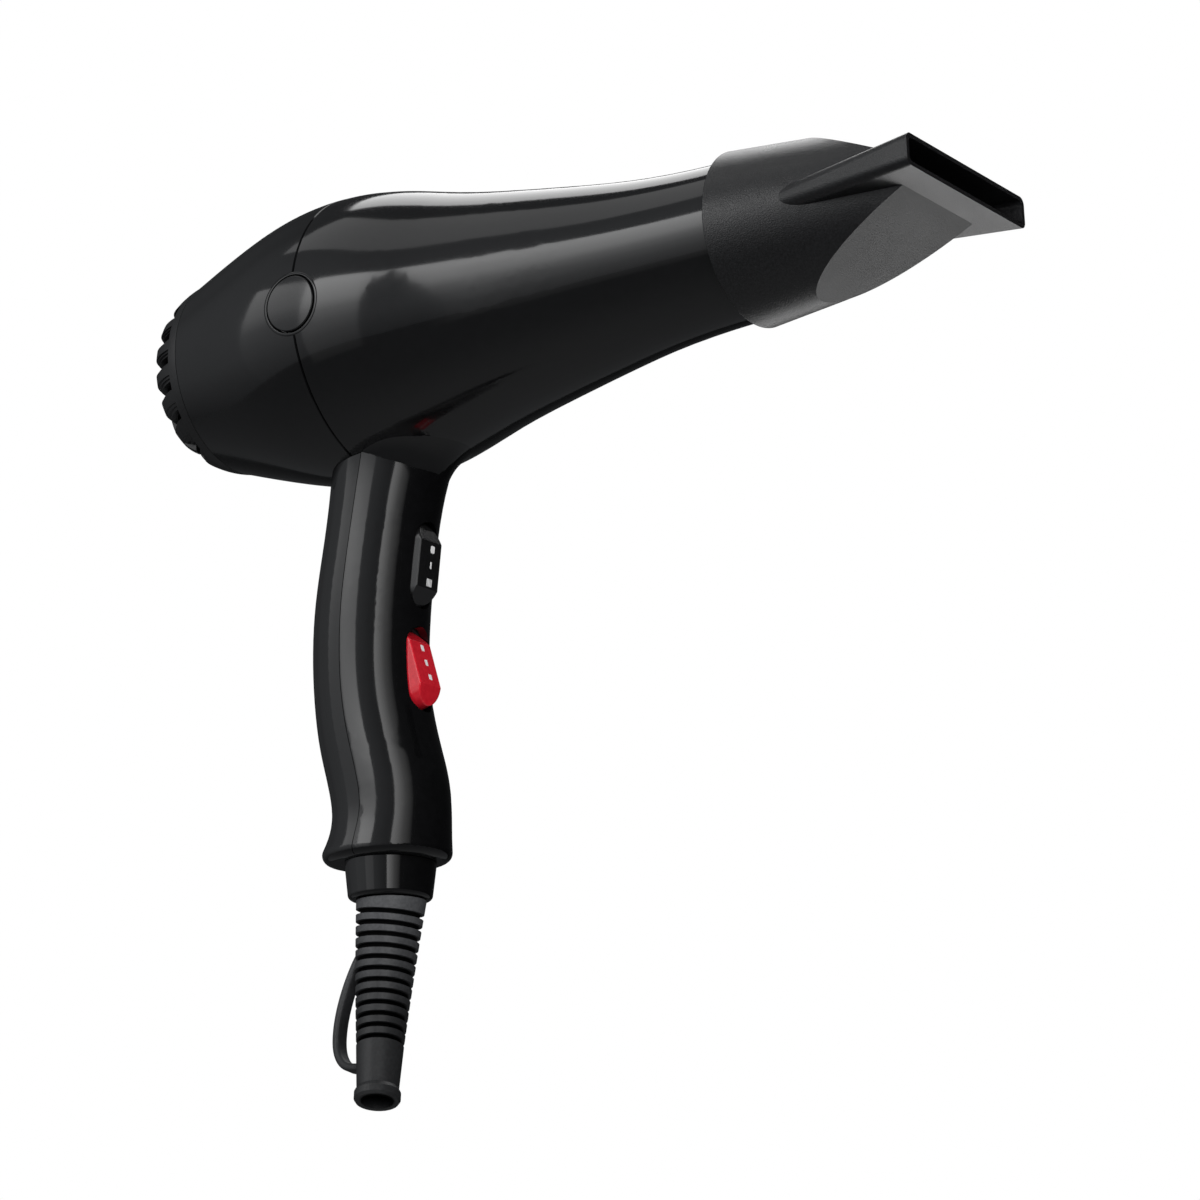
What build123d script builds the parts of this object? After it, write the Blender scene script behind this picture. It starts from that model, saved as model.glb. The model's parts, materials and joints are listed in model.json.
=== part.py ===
from build123d import *
import math
import os

os.makedirs("parts", exist_ok=True)

# ---------------------------------------------------------------------------
# Hair dryer with a pistol handle.  Millimetres.
# +X runs forward along the barrel axis to the air outlet, +Z is up, +Y is the
# user's left.  The origin is on the barrel axis, above the top of the handle.
# ---------------------------------------------------------------------------

# ---- driving dimensions ----------------------------------------------------
WALL = 2.2                      # barrel wall
H_WALL = 2.4                    # handle wall
GAP = 0.12                      # half of the gap at a housing parting line
SEAM_X = -8.2                   # parting plane of the two barrel shells
REAR_X = -62.5                  # rear edge of the rear housing
STEP_X = 124.5                  # shoulder where the nose begins
NOSE_X = 137.0                  # front end of the nose
NOSE_R = 22.6
NOSE_RI = 20.8

# outer radius of the barrel along its axis
BARREL = [(-62.5, 30.2), (-56, 32.5), (-42, 37.2), (-25, 41.7), (-8.2, 43.3),
          (10, 41.3), (30, 36.2), (50, 32.0), (70, 28.4), (90, 25.3),
          (110, 23.6), (124.5, 23.2)]

# handle sections: height, front edge, rear edge, half width
HANDLE = [(-24, 28.0, -20.0, 19.6), (-30, 22.6, -21.4, 18.2), (-36, 17.2, -22.6, 16.9),
          (-42, 14.1, -24.0, 15.9), (-50, 11.1, -25.3, 15.4), (-65, 7.5, -28.15, 15.3),
          (-80, 5.1, -31.07, 15.5), (-95, 3.6, -32.5, 15.5), (-110, 3.7, -32.3, 15.5),
          (-125, 6.5, -30.55, 15.6), (-138, 9.4, -27.64, 15.6), (-147, 9.8, -26.9, 15.7),
          (-154, 9.5, -29.2, 16.5), (-163, 9.2, -31.0, 16.9)]
END_C = (-9.37, 0, -160.05)     # centre of the handle's end face
END_TILT = 2.5                  # the end face leans this far, degrees

# rockers
ROCK_L, ROCK_W = 24.6, 10.2     # plan length and width
WIN_L, WIN_W = 26.0, 10.8       # window in the handle
ROCK_PIV = -5.0                 # pivot depth below the handle's surface
ROCK_ANG = 13.0                 # each way from the middle position
HEAT_C = (5.98, 0, -73.2)
HEAT_SLOPE = 8.5
SPEED_C = (3.63, 0, -104.4)
SPEED_SLOPE = -1.6

# concentrator nozzle
CON_X0, CON_R0 = 122.9, 25.76
CON_X1 = 193.3
CON_TAPER = 0.0977
CON_XC = 145.1                  # the flat slanting faces start here
CON_XD = 183.5                  # and meet the flat duct here
SLOT_L, SLOT_H = 65.6, 9.43
CON_T = 1.6

# intake grille
GRILLE = [(-62.75, 30.1), (-66, 29.3), (-70, 27.6), (-74, 25.0), (-77, 21.6), (-79, 17.0), (-80.2, 9.0), (-80.4, 0.0)]
LOUVRE_PITCH, LOUVRE_W = 8.0, 2.3

# motor and fan
SHAFT_R = 2.0
FAN_R = 31.5
FAN_X0, FAN_X1 = -46.0, -33.0

# cord boot: an arc and then a straight end
BOOT_P0 = (-9.5, 0, -171.0)
BOOT_TILT = 8.6
BOOT_END_DIR = (0.099, -0.2516, -0.9628)
BOOT_ARC, BOOT_STR = 47.0, 14.0
RING_PITCH = 3.51
RINGS = 12


# ---- helpers ---------------------------------------------------------------
def tube(x0, x1, r, ri=0.0):
    s = Plane.YZ.offset(x0) * Circle(r)
    if ri:
        s -= Plane.YZ.offset(x0) * Circle(ri)
    return extrude(s, x1 - x0)


def box(x0, x1, y0, y1, z0, z1):
    return Pos((x0 + x1) / 2, (y0 + y1) / 2, (z0 + z1) / 2) * Box(x1 - x0, y1 - y0, z1 - z0)


def turned(pts):
    """Solid of revolution about X from straight lines between (x, r) points."""
    return revolve(make_face(Polyline(*[(x, 0, r) for x, r in pts], close=True)), Axis.X)


def spun(pts, dr=0.0):
    """Solid of revolution about X under a smooth curve."""
    pts = [(x, max(r + dr, 0.0)) for x, r in pts]
    edges = [Spline(*[(x, 0, r) for x, r in pts])]
    (xa, ra), (xb, rb) = pts[0], pts[-1]
    if rb > 0:
        edges.append(Line((xb, 0, rb), (xb, 0, 0)))
    edges += [Line((xb, 0, 0), (xa, 0, 0)), Line((xa, 0, 0), (xa, 0, ra))]
    return revolve(make_face(edges), Axis.X)


def rod(p, d, r, length, ri=0.0):
    """Cylinder from point p along direction d."""
    pl = Plane(origin=p, z_dir=d)
    s = pl * Circle(r)
    if ri:
        s -= pl * Circle(ri)
    return extrude(s, length)


def around(shape, n, a0=0.0):
    return [Rot(a0 + 360.0 * i / n, 0, 0) * shape for i in range(n)]


def put(name, shape):
    if isinstance(shape, (list, tuple)):
        shape = Compound(children=list(shape))
    shape.label = name
    export_step(shape, f"parts/{name}.step")


def try_fillet(shape, edges, radii):
    for r in radii:
        try:
            out = fillet(edges, r)
            if out.is_valid and out.volume > 0:
                return out
        except Exception:
            pass
    return shape


# ---- barrel and handle envelopes -------------------------------------------
barrel_out = spun(BARREL)
barrel_in = spun([(-64, 29.6)] + BARREL[1:-1] + [(126.0, 23.18)], -WALL)


def handle_envelope(inset):
    secs = [Pos((xf + xr) / 2, 0, z) * Ellipse((xf - xr) / 2 - inset, hy - inset) for z, xf, xr, hy in HANDLE]
    return loft([s.face() for s in secs])


end_dir = (-math.sin(math.radians(END_TILT)), 0, -math.cos(math.radians(END_TILT)))
end_plane = Plane(origin=END_C, x_dir=(0, 1, 0), z_dir=end_dir)
below_end = end_plane * Pos(0, 0, 40) * Box(120, 120, 80)
below_wall = end_plane * Pos(0, 0, 40 - H_WALL) * Box(120, 120, 80)

handle_out = handle_envelope(0.0) - below_end
bottom_edges = handle_out.faces().sort_by(Axis.Z)[0].edges()
handle_out = try_fillet(handle_out, bottom_edges, (2.6, 2.0, 1.5))
handle_in = handle_envelope(H_WALL) - below_wall
handle_mid = handle_envelope(1.1) - below_end      # inner bosses end inside the wall

# region behind the handle's parting line
centre = [((xf + xr) / 2, z) for z, xf, xr, hy in HANDLE]


def behind(shift):
    pts = [(x + shift, 0, z) for x, z in centre[1:]]
    pts = [(3.0 + shift, 0, -22)] + pts + [(centre[-1][0] + shift, 0, -175)]
    f = make_face([Spline(*pts), Line(pts[-1], (-90, 0, -175)), Line((-90, 0, -175), (-90, 0, -22)),
                   Line((-90, 0, -22), pts[0])])
    return extrude(f, 60, both=True)


# ---- side caps (round badges over the parting line) -------------------------
CAP_R, CAP_REC_R = 8.4, 9.8
cap_axis = {}
for side, sy in (("left", 1), ("right", -1)):
    cap_axis[side] = Plane(origin=(SEAM_X + 0.6, sy * 30, 0), z_dir=(-0.10, sy, 0))


def cap_cyl(side, r):
    return extrude(cap_axis[side] * Circle(r), 20)


cap_floor = spun(BARREL, -1.3)
cap_skin = spun(BARREL, 0.25)


# ---- rear housing -----------------------------------------------------------
rear_cut = box(-200, SEAM_X - GAP, -100, 100, -100, 100)
rear = (barrel_out & rear_cut) - barrel_in
# thicker pad under each side cap
pad = (extrude(Plane(origin=(SEAM_X, 0, 0), z_dir=(0, 1, 0)) * Circle(12.5), 60, both=True) & spun(BARREL, -0.8)) - spun(BARREL, -3.6)
rear += (pad & rear_cut)
# rabbet for the front housing's tongue
rear -= tube(SEAM_X - 3.6, SEAM_X + 2, 42.15, 30)
# clearance of the side screws' tabs
for sy in (1, -1):
    rear -= box(-18.6, SEAM_X + 1, min(sy * 30, sy * 40.4), max(sy * 30, sy * 40.4), -6.3, 6.3)
for side in cap_axis:
    rear -= cap_cyl(side, CAP_REC_R) - cap_floor
# seat of the air guide and rear stiffening ribs
rear += tube(-30.5, -28.6, 39.6, 36.0) & barrel_out
for a in (45, 135, 225, 315):
    rear += (Rot(a, 0, 0) * box(-60, -50, -0.7, 0.7, 27.9, 34)) & spun(BARREL, -1.0)
# soft edge at the parting line
rear = rear - turned([(SEAM_X - GAP - 0.5, 43.6), (SEAM_X - GAP + 0.1, 43.6), (SEAM_X - GAP + 0.1, 42.75), (SEAM_X - GAP, 42.85)])

# ---- handle back cover -------------------------------------------------------
back_zone = behind(-GAP)
cover = ((handle_out - handle_in) & back_zone) - spun(BARREL, 0.15)
screw_z = [(-53.5, 0.0), (-131.0, 0.0)]


def x_mid(z):
    for (x1, z1), (x0, z0) in zip(centre[:-1], centre[1:]):
        if z0 <= z <= z1:
            return x0 + (x1 - x0) * (z - z0) / (z1 - z0)


for z, _ in screw_z:
    xm = x_mid(z)
    cover += (rod((xm - 0.3, 0, z), (-1, 0, 0), 3.3, 18) & handle_out & back_zone)
    cover -= rod((xm + 1, 0, z), (-1, 0, 0), 1.6, 40)
    cover -= rod((xm - 10.0, 0, z), (-1, 0, 0), 2.9, 30)
# half of the hole for the end collar
neck_hole = extrude(end_plane * Pos(0, 0, -12) * Circle(12.25), 24)
cover -= neck_hole
put("handle_back_cover", cover)

# ---- front housing -----------------------------------------------------------
front_cut = box(SEAM_X + GAP, 400, -100, 100, -100, 100)
half = handle_out - behind(GAP)
half -= spun(BARREL, 0.15) & box(-100, SEAM_X + GAP, -100, 100, -100, 0)
front = (barrel_out & front_cut) + half
front -= handle_in
front -= barrel_in
front += tube(STEP_X - 3.0, NOSE_X, NOSE_R, NOSE_RI)
front -= tube(110, STEP_X - 2.9, NOSE_RI) & spun(BARREL, -WALL)
front += tube(NOSE_X - 1.6, NOSE_X, NOSE_RI + 0.2, 19.5)
# tongue that enters the rear housing
front += tube(SEAM_X - 3.0, SEAM_X + 3.0, 42.0, 41.0)
front += (pad & front_cut) - tube(SEAM_X - 5, SEAM_X + 14, 39.6, 0)
for side in cap_axis:
    front -= cap_cyl(side, CAP_REC_R) - cap_floor
# side tabs that take the side screws
for sy in (1, -1):
    tab = box(-17.6, SEAM_X + 4, min(sy * 38.6, sy * 40.2), max(sy * 38.6, sy * 40.2), -5.6, 5.6)
    front += tab
# ribs that locate the air guide and the mica tube
for a in (45, 135, 225, 315):
    front += (Rot(a, 0, 0) * box(SEAM_X + 0.6, 6, -0.8, 0.8, 38.0, 45)) & spun(BARREL, -1.0)
for a in (0, 120, 240):
    front += (Rot(a, 0, 0) * box(48, 62, -0.8, 0.8, 20.9, 33)) & spun(BARREL, -1.0)
# the tongue stops either side of the way from the handle into the barrel
front -= box(-12, -4.9, -12.5, 12.5, -42.3, -39.1)
# screw bosses
for z, _ in screw_z:
    xm = x_mid(z)
    front += rod((xm + 0.3, 0, z), (1, 0, 0), 2.6, 30) & handle_mid
    front -= rod((xm, 0, z), (1, 0, 0), 1.15, 13)
front -= neck_hole
front -= turned([(SEAM_X + GAP + 0.5, 43.6), (SEAM_X + GAP - 0.1, 43.6), (SEAM_X + GAP - 0.1, 42.75), (SEAM_X + GAP, 42.85)])


# ---- rocker switches ----------------------------------------------------------
def switch_plane(c, slope):
    a = math.radians(slope)
    return Plane(origin=c, x_dir=(0, 1, 0), z_dir=(math.cos(a), 0, -math.sin(a)))


def stadium(l, w):
    return Rot(0, 0, 90) * SlotOverall(l, w)


def make_switch(prefix, c, slope, rest):
    """A three-position rocker switch; local x is across, y up the handle, z out."""
    pl = switch_plane(c, slope)
    # body
    body = Pos(0, 0, (-15.5 - 3.4) / 2) * Box(12.6, 27.8, 12.1)
    body -= extrude(Pos(0, 0, -12.6) * stadium(WIN_L, WIN_W), 12)
    body -= Pos(0, 0, ROCK_PIV) * Rot(0, 90, 0) * Cylinder(1.35, 20)
    # terminals: three blades, the middle one carries the contact bridge
    blades = []
    for y, top in ((-7.0, -12.5), (0.0, -11.75), (7.0, -12.5)):
        b = Pos(0, y, (top - 20.0) / 2) * Box(4.2, 0.8, top + 20.0)
        blades.append(b)
        body -= Pos(0, y, -14.2) * Box(4.22, 0.82, 3.6)
    # rocker
    h = ROCK_L / 2
    side = [(-h - 0.3, -1.3 - 0.16), (-7.0, 1.7), (7.0, 1.7), (h + 0.3, -1.46), (h + 0.3, -4.6), (6.0, -7.2), (-6.0, -7.2), (-h - 0.3, -4.6)]
    prof = make_face(Polyline(*[(0, y, z) for y, z in side], close=True))
    rocker = extrude(prof, 10, both=True, dir=(1, 0, 0)) & extrude(Pos(0, 0, -10) * stadium(ROCK_L, ROCK_W), 20)
    rocker += extrude(Pos(0, 0, -9.0) * Circle(2.3), 3.0)
    rocker -= extrude(Pos(0, 0, -9.1) * Circle(1.4), 6.3)
    top_edges = [e for e in rocker.edges() if e.center().Z > -1.4 and e.bounding_box().min.Z > -1.6]
    rocker = try_fillet(rocker, top_edges, (0.5, 0.35, 0.2))
    rocker += Pos(0, 0, ROCK_PIV) * Rot(0, 90, 0) * Cylinder(1.3, 11.9) - Pos(0, 0, ROCK_PIV) * Box(ROCK_W - 1.0, 4, 4)
    # plunger and its spring inside the rocker's stem
    plunger = extrude(Pos(0, 0, -9.9) * Circle(1.3), 2.6) + Pos(0, 0, -9.9) * Sphere(0.75)
    spring = sweep(Plane(origin=(0.95, 0, -7.1), z_dir=(0, 1, 0.1)) * Circle(0.2), Pos(0, 0, -7.1) * Helix(0.9, 3.9, 0.95))
    # seesaw contact bridge
    bridge = Pos(0, 0, -11.3) * Box(3.6, 15.0, 0.6)
    bridge += Pos(0, 0, -11.3) * Rot(0, 90, 0) * Cylinder(0.42, 3.6)
    turn = Pos(0, 0, ROCK_PIV) * Rot(rest, 0, 0) * Pos(0, 0, -ROCK_PIV)
    turn_b = Pos(0, 0, -11.3) * Rot(-rest * 0.3, 0, 0) * Pos(0, 0, 11.3)
    put(prefix + "_switch_body", pl * body)
    put(prefix + "_rocker", pl * turn * rocker)
    put(prefix + "_plunger", pl * turn * plunger)
    put(prefix + "_plunger_spring", pl * turn * spring)
    put(prefix + "_contact_bridge", pl * turn_b * bridge)
    put(prefix + "_switch_terminals", [pl * b for b in blades])
    window = pl * extrude(Pos(0, 0, -12) * stadium(WIN_L, WIN_W), 24)
    pocket = pl * Pos(0, 0, (-16.5 - 3.3) / 2) * Box(12.8, 28.0, 13.2)
    p = pl.from_local_coords(Vector(0, 0, ROCK_PIV))
    q = pl.from_local_coords(Vector(0, 0, -11.3))
    print(prefix, "pivot", [round(v, 4) for v in (p.X, p.Y, p.Z)], "bridge pivot", [round(v, 4) for v in (q.X, q.Y, q.Z)])
    tips = [pl.from_local_coords(Vector(0, y, -20.0)) for y in (-7.0, 0.0, 7.0)]
    back = pl.z_dir * -1
    return window, pocket, tips, back


heat_win, heat_pocket, heat_tips, heat_back = make_switch("heat", HEAT_C, HEAT_SLOPE, 0.0)
speed_win, speed_pocket, speed_tips, speed_back = make_switch("speed", SPEED_C, SPEED_SLOPE, -ROCK_ANG)
front = front - heat_win - speed_win - heat_pocket - speed_pocket

# ---- side caps and their screws -------------------------------------------------
for side, sy in (("left", 1), ("right", -1)):
    cap = (cap_cyl(side, CAP_R) & cap_skin) - spun(BARREL, -1.25)
    edges = [e for e in cap.edges() if abs(e.center().Y) > 42.2]
    cap = try_fillet(cap, edges, (0.35, 0.2))
    # two pegs that clip into the front housing
    for z in (4.0, -4.0):
        peg = rod((-3.5, sy * 40.3, z), (0, sy, 0), 0.9, 2.6) & spun(BARREL, -0.6)
        cap += peg
        front -= rod((-3.5, sy * 36, z), (0, sy, 0), 1.0, 6)
    put("side_cap_" + side, cap)
side_screws = []
for sy in (1, -1):
    x = -13.9
    s = rod((x, sy * 38.65, 0), (0, sy, 0), 1.1, 2.15)
    s += rod((x, sy * 40.6, 0), (0, sy, 0), 1.9, 0.75)
    side_screws.append(s)
    rear -= rod((x, sy * 40.45, 0), (0, sy, 0), 2.0, 4)
    rear -= rod((x, sy * 30, 0), (0, sy, 0), 1.3, 12)
    front -= rod((x, sy * 30, 0), (0, sy, 0), 1.12, 12)
put("side_screws", side_screws)

# ---- handle screws ---------------------------------------------------------------
hs = []
for z, _ in screw_z:
    xm = x_mid(z)
    s = rod((xm - 12.4, 0, z), (1, 0, 0), 2.7, 2.2)
    s += rod((xm - 10.3, 0, z), (1, 0, 0), 1.1, 20.0)
    s -= Pos(xm - 12.4, 0, z) * Box(2.2, 3.4, 0.8)
    s -= Pos(xm - 12.4, 0, z) * Box(2.2, 0.8, 3.4)
    hs.append(s)
put("handle_screws", hs)

# ---- end collar ---------------------------------------------------------------------
collar = extrude(end_plane * Pos(0, 0, -H_WALL - 2.2) * Circle(13.3), 2.1)
collar += extrude(end_plane * Pos(0, 0, -H_WALL - 1.0) * Circle(12.15), 4)
cone = loft([(end_plane * Pos(0, 0, 0.12) * Circle(13.4)).face(), (end_plane * Pos(0, 0, 10.9) * Circle(12.2)).face()], ruled=True)
cone = try_fillet(cone, cone.faces().sort_by(Axis.Z)[0].edges(), (1.4, 1.0))
collar += cone
collar -= extrude(end_plane * Pos(0, 0, -10) * Circle(9.0), 30)

# ---- cord boot ----------------------------------------------------------------------
t = math.radians(BOOT_TILT)
a0 = Vector(-math.sin(t), 0, -math.cos(t))
a1 = Vector(*BOOT_END_DIR).normalized()
k = a0.cross(a1).normalized()
ang = math.acos(a0.dot(a1))
rho = BOOT_ARC / ang
m0 = (a1 - a0 * math.cos(ang)) * (1 / math.sin(ang))
P0 = Vector(*BOOT_P0)
OC = P0 + m0 * rho


def boot_at(s):
    if s <= BOOT_ARC:
        th = max(s, 0) / rho
        p = OC - m0 * (rho * math.cos(th)) + a0 * (rho * math.sin(th))
        d = a0 * math.cos(th) + m0 * math.sin(th)
        if s < 0:
            p = p + a0 * s
        return p, d
    p, d = boot_at(BOOT_ARC)
    return p + d * (s - BOOT_ARC), d


def boot_circle(s, r):
    p, d = boot_at(s)
    return (Plane(origin=p, x_dir=k, z_dir=d) * Circle(r)).face()


def boot_r(s):
    return 10.2 - 0.0765 * s if s < 43 else 6.91 - 0.06 * (s - 43)


secs = [(-1.8, boot_r(0) + 0.15), (3.6, boot_r(3.6))]
for i in range(RINGS):
    s = 3.8 + RING_PITCH * i
    secs += [(s + 0.15, boot_r(s) - 1.25), (s + 1.3, boot_r(s + 1.3) - 1.25), (s + 1.45, boot_r(s + 1.45)), (s + RING_PITCH - 0.15, boot_r(s + RING_PITCH - 0.15))]
secs[-1] = (44.5, boot_r(44.5))
secs += [(47.0, boot_r(47)), (57.0, boot_r(57)), (58.2, 6.7), (60.2, 6.7), (61.0, 6.2)]
boot = loft([boot_circle(s, r) for s, r in secs], ruled=True)
# neck and inner flange held by the collar
neck_top = Plane(origin=END_C, x_dir=(0, 1, 0), z_dir=end_dir)
boot -= neck_top * Pos(0, 0, 11.35 - 20) * Box(60, 60, 40)
boot += extrude(neck_top * Pos(0, 0, -H_WALL - 4.5) * Circle(8.85), 20)
boot += extrude(neck_top * Pos(0, 0, -H_WALL - 4.5) * Circle(11.0), 2.2)
collar -= extrude(neck_top * Pos(0, 0, 11.05) * Circle(20), 5)
# way through for the cord
bore = revolve(Plane(origin=P0, x_dir=k, z_dir=a0) * Circle(3.9), Axis(origin=(OC.X, OC.Y, OC.Z), direction=(k.X, k.Y, k.Z)), math.degrees(ang))
boot -= bore
pe, de = boot_at(BOOT_ARC)
boot -= rod((pe.X, pe.Y, pe.Z), (de.X, de.Y, de.Z), 3.9, 30)
pm, dm = boot_at(BOOT_ARC + 1.0)
boot -= rod((pm.X, pm.Y, pm.Z), (dm.X, dm.Y, dm.Z), 4.6, 30)
boot -= rod(BOOT_P0, (-a0.X, -a0.Y, -a0.Z), 3.9, 30)
put("handle_end_collar", collar)

# ---- hanging loop ---------------------------------------------------------------------
def loop_pt(s, o):
    p, d = boot_at(s)
    e = Vector(-1, 0, 0)
    e = (e - d * e.dot(d)).normalized()
    return p + e * o


lp = [loop_pt(13.0, 6.2), loop_pt(16.5, 8.7), loop_pt(20.0, 10.4), loop_pt(28.4, 13.3), loop_pt(37.9, 14.8), loop_pt(43.2, 14.15),
      loop_pt(46.9, 11.7), loop_pt(48.5, 8.8), loop_pt(49.1, 5.5)]
# bring the path into one plane
n = (lp[4] - lp[0]).cross(lp[8] - lp[4]).normalized()
lp = [p - n * (p - lp[0]).dot(n) for p in lp]
path = Spline(*lp)
d0 = path % 0
strap = sweep(Plane(origin=lp[0], x_dir=n, z_dir=d0) * RectangleRounded(4.6, 2.5, 1.0), path)
strap_solid = strap
print("loop points", [[round(v, 2) for v in (p.X, p.Y, p.Z)] for p in lp])
boot -= strap_solid
boot = max(boot.solids(), key=lambda b: b.volume)
put("hanging_loop", strap_solid)
put("cord_boot", boot)
pe2, de2 = boot_at(BOOT_ARC + BOOT_STR)
print("cord outlet end", [round(v, 4) for v in (pe2.X, pe2.Y, pe2.Z)], "dir", [round(v, 5) for v in (de2.X, de2.Y, de2.Z)])

# ---- cord clamp ------------------------------------------------------------------------
CL_Z = -146.0
xm = x_mid(CL_Z)
clamp = box(xm - 4.6, xm - 1.6, -11.0, 11.0, CL_Z - 3.5, CL_Z + 3.5) - rod((xm + 2.6, 0, CL_Z - 10), (0, 0, 1), 4.4, 20)
for sy in (1, -1):
    boss = rod((xm - 1.3, sy * 8.4, CL_Z), (1, 0, 0), 2.5, 30) & handle_mid
    front += boss
    front -= rod((xm - 2, sy * 8.4, CL_Z), (1, 0, 0), 0.95, 12)
    clamp -= rod((xm - 8, sy * 8.4, CL_Z), (1, 0, 0), 1.3, 12)
put("cord_clamp", clamp)
put("cord_clamp_screws", [rod((xm - 4.7, sy * 8.4, CL_Z), (-1, 0, 0), 2.1, 1.5) + rod((xm - 4.8, sy * 8.4, CL_Z), (1, 0, 0), 0.9, 11)
                          for sy in (1, -1)])

put("rear_housing", rear)
put("front_housing", front)

# ---- intake grille and filter ----------------------------------------------------------
g_out = spun(GRILLE)
g_in = spun([(-60.0, 28.2), (-64, 27.6), (-68.2, 25.9), (-72.2, 23.0), (-75.0, 19.8), (-77.0, 15.0), (-78.2, 7.0)])
grille = g_out - g_in
grille += tube(-64.5, -58.5, 27.6, 26.2)
step_low = Pos(1.0, 0, 0) * spun(GRILLE, -0.7)
step_high = Pos(0.45, 0, 0) * spun(GRILLE, -0.35)
for i in range(-3, 4):
    z = i * LOUVRE_PITCH
    grille -= box(-100, -66.5, -60, 60, z - LOUVRE_W / 2, z + LOUVRE_W / 2)
    # each louvre edge steps down to its slot
    grille -= box(-100, -66.5, -60, 60, z - 1.9, z + 1.9) - step_low
    grille -= box(-100, -66.2, -60, 60, z - 2.6, z + 2.6) - step_high
# bars behind the louvres tie them together
grille += (box(-79.0, -71.0, -1.0, 1.0, -27, 27) & g_out) - spun([(-60.0, 25.2), (-68.2, 23.4), (-72.2, 20.5), (-75.0, 17.3), (-76.6, 12.5), (-77.0, 5.0)])
for y in (-12.0, 12.0):
    grille += (box(-79.0, -69.0, y - 0.9, y + 0.9, -27, 27) & g_out) - spun([(-60.0, 25.2), (-68.2, 23.4), (-72.2, 20.5), (-75.0, 17.3), (-76.6, 12.5), (-77.0, 5.0)])
put("intake_grille", grille)
put("filter_frame", tube(-65.0, -59.0, 25.9, 24.2) + (box(-64.2, -62.8, -25, 25, -0.8, 0.8) & tube(-70, -50, 25)) + (box(-64.2, -62.8, -0.8, 0.8, -25, 25) & tube(-70, -50, 25)))
pitch = 4.4
holes = []
for i in range(-6, 7):
    for j in range(-6, 7):
        y, z = pitch * (i + 0.5 * (j % 2)), pitch * 0.866 * j
        if math.hypot(y, z) < 21.6:
            holes.append(Plane.YZ.offset(-62.5) * Pos(y, z) * Circle(1.6))
put("filter_mesh", extrude(Plane.YZ.offset(-62.5) * Circle(24.1) - holes, 0.5))

# ---- concentrator -----------------------------------------------------------------------
def con_r(x):
    return CON_R0 - CON_TAPER * (x - CON_X0)


def nozzle_body(t, x0, x1, r_at):
    """Tapering cylinder cut by two slanting planes."""
    c = turned([(x0, 0), (x0, r_at(x0) - t), (x1, r_at(x1) - t), (x1, 0)])
    rc, zd = con_r(CON_XC), SLOT_H / 2
    dx, dz = CON_XD - CON_XC, rc - zd
    ln = math.hypot(dx, dz)
    # offset of the slanting face for the inner skin
    ox, oz = -t * dz / ln, -t * dx / ln
    up = make_face(Polyline((CON_XC - 60 + ox, 0, rc + 60 * dz / dx + oz), (CON_XD + 60 + ox, 0, zd - 60 * dz / dx + oz),
                            (CON_XD + 60, 0, 80), (CON_XC - 60, 0, 80), close=True))
    cut = extrude(up, 60, both=True)
    return c - cut - Rot(180, 0, 0) * cut


con_out = nozzle_body(0, CON_X0, CON_XD + 2.0, con_r)
duct = loft([(Plane.YZ.offset(142.0) * RectangleRounded(44.8, 7.2, 3.5)).face(),
             (Plane.YZ.offset(CON_X1) * RectangleRounded(SLOT_L, SLOT_H, 2.2)).face()], ruled=True)
con_out = con_out + duct
con_in = nozzle_body(CON_T, NOSE_X + 0.3, CON_XD + 2.0, con_r)
duct_in = loft([(Plane.YZ.offset(140.0) * RectangleRounded(40.6, 4.6, 2.0)).face(),
                (Plane.YZ.offset(CON_X1 + 4) * RectangleRounded(SLOT_L - 1.2, SLOT_H - 2.4, 1.4)).face()], ruled=True)
bore_in = tube(CON_X0 - 1, NOSE_X + 0.3, 22.95)
con = con_out - con_in - duct_in - bore_in
con -= tube(126.8, 130.2, 23.7, 0)
con -= turned([(CON_X0 - 0.1, 22.9), (CON_X0 - 0.1, 24.6), (CON_X0 + 2.6, 22.9)])
rim = [e for e in con.edges() if abs(e.center().X - CON_X0) < 0.05 and e.geom_type == GeomType.CIRCLE and e.radius > 25]
con = try_fillet(con, rim, (0.5, 0.3))
put("concentrator", con)
put("concentrator_grip_ring", tube(127.0, 130.0, 23.6, NOSE_R + 0.06) - box(126, 131, -0.6, 0.6, 0, 40))

# ---- outlet grille -----------------------------------------------------------------------
og = tube(132.3, 135.0, 20.7, 19.4)
for r in (5.0, 10.0, 15.0):
    og += tube(133.0, 134.6, r + 0.5, r - 0.5)
og += tube(133.0, 134.6, 1.6)
for a in range(0, 360, 60):
    og += (Rot(a, 0, 0) * box(133.0, 134.6, -0.5, 0.5, 0, 20)) & tube(130, 140, 20)
put("outlet_grille", og)

# ---- heater --------------------------------------------------------------------------------
put("mica_tube", tube(47.0, 131.8, 20.7, 20.3))
cross = box(31.0, 131.0, -0.35, 0.35, -19.8, 19.8) + box(31.0, 131.0, -19.8, 19.8, -0.35, 0.35)
low_x = [44 + 14 * i for i in range(5)]
high_x = [51 + 14 * i for i in range(5)]
for x in low_x + high_x:
    for a in (0, 90, 180, 270):
        cross -= Rot(a, 0, 0) * box(x - 0.9, x + 0.9, -2, 2, 15.4, 21)
heater_low = [Pos(x, 0, 0) * Rot(0, 90, 0) * Torus(16.6, 0.75) for x in low_x]
heater_high = [Pos(x, 0, 0) * Rot(0, 90, 0) * Torus(16.6, 0.75) for x in high_x]
put("heater_coil_low", heater_low)
put("heater_coil_high", heater_high)
for sy, sz in ((1, 1), (-1, -1), (1, -1)):
    cross -= rod((35, -3, sz * 8), (0, 1, 0), 1.0, 6) if sy == 1 else rod((35, -3, sz * 14), (0, 1, 0), 1.0, 6)
put("mica_cross", cross)
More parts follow.
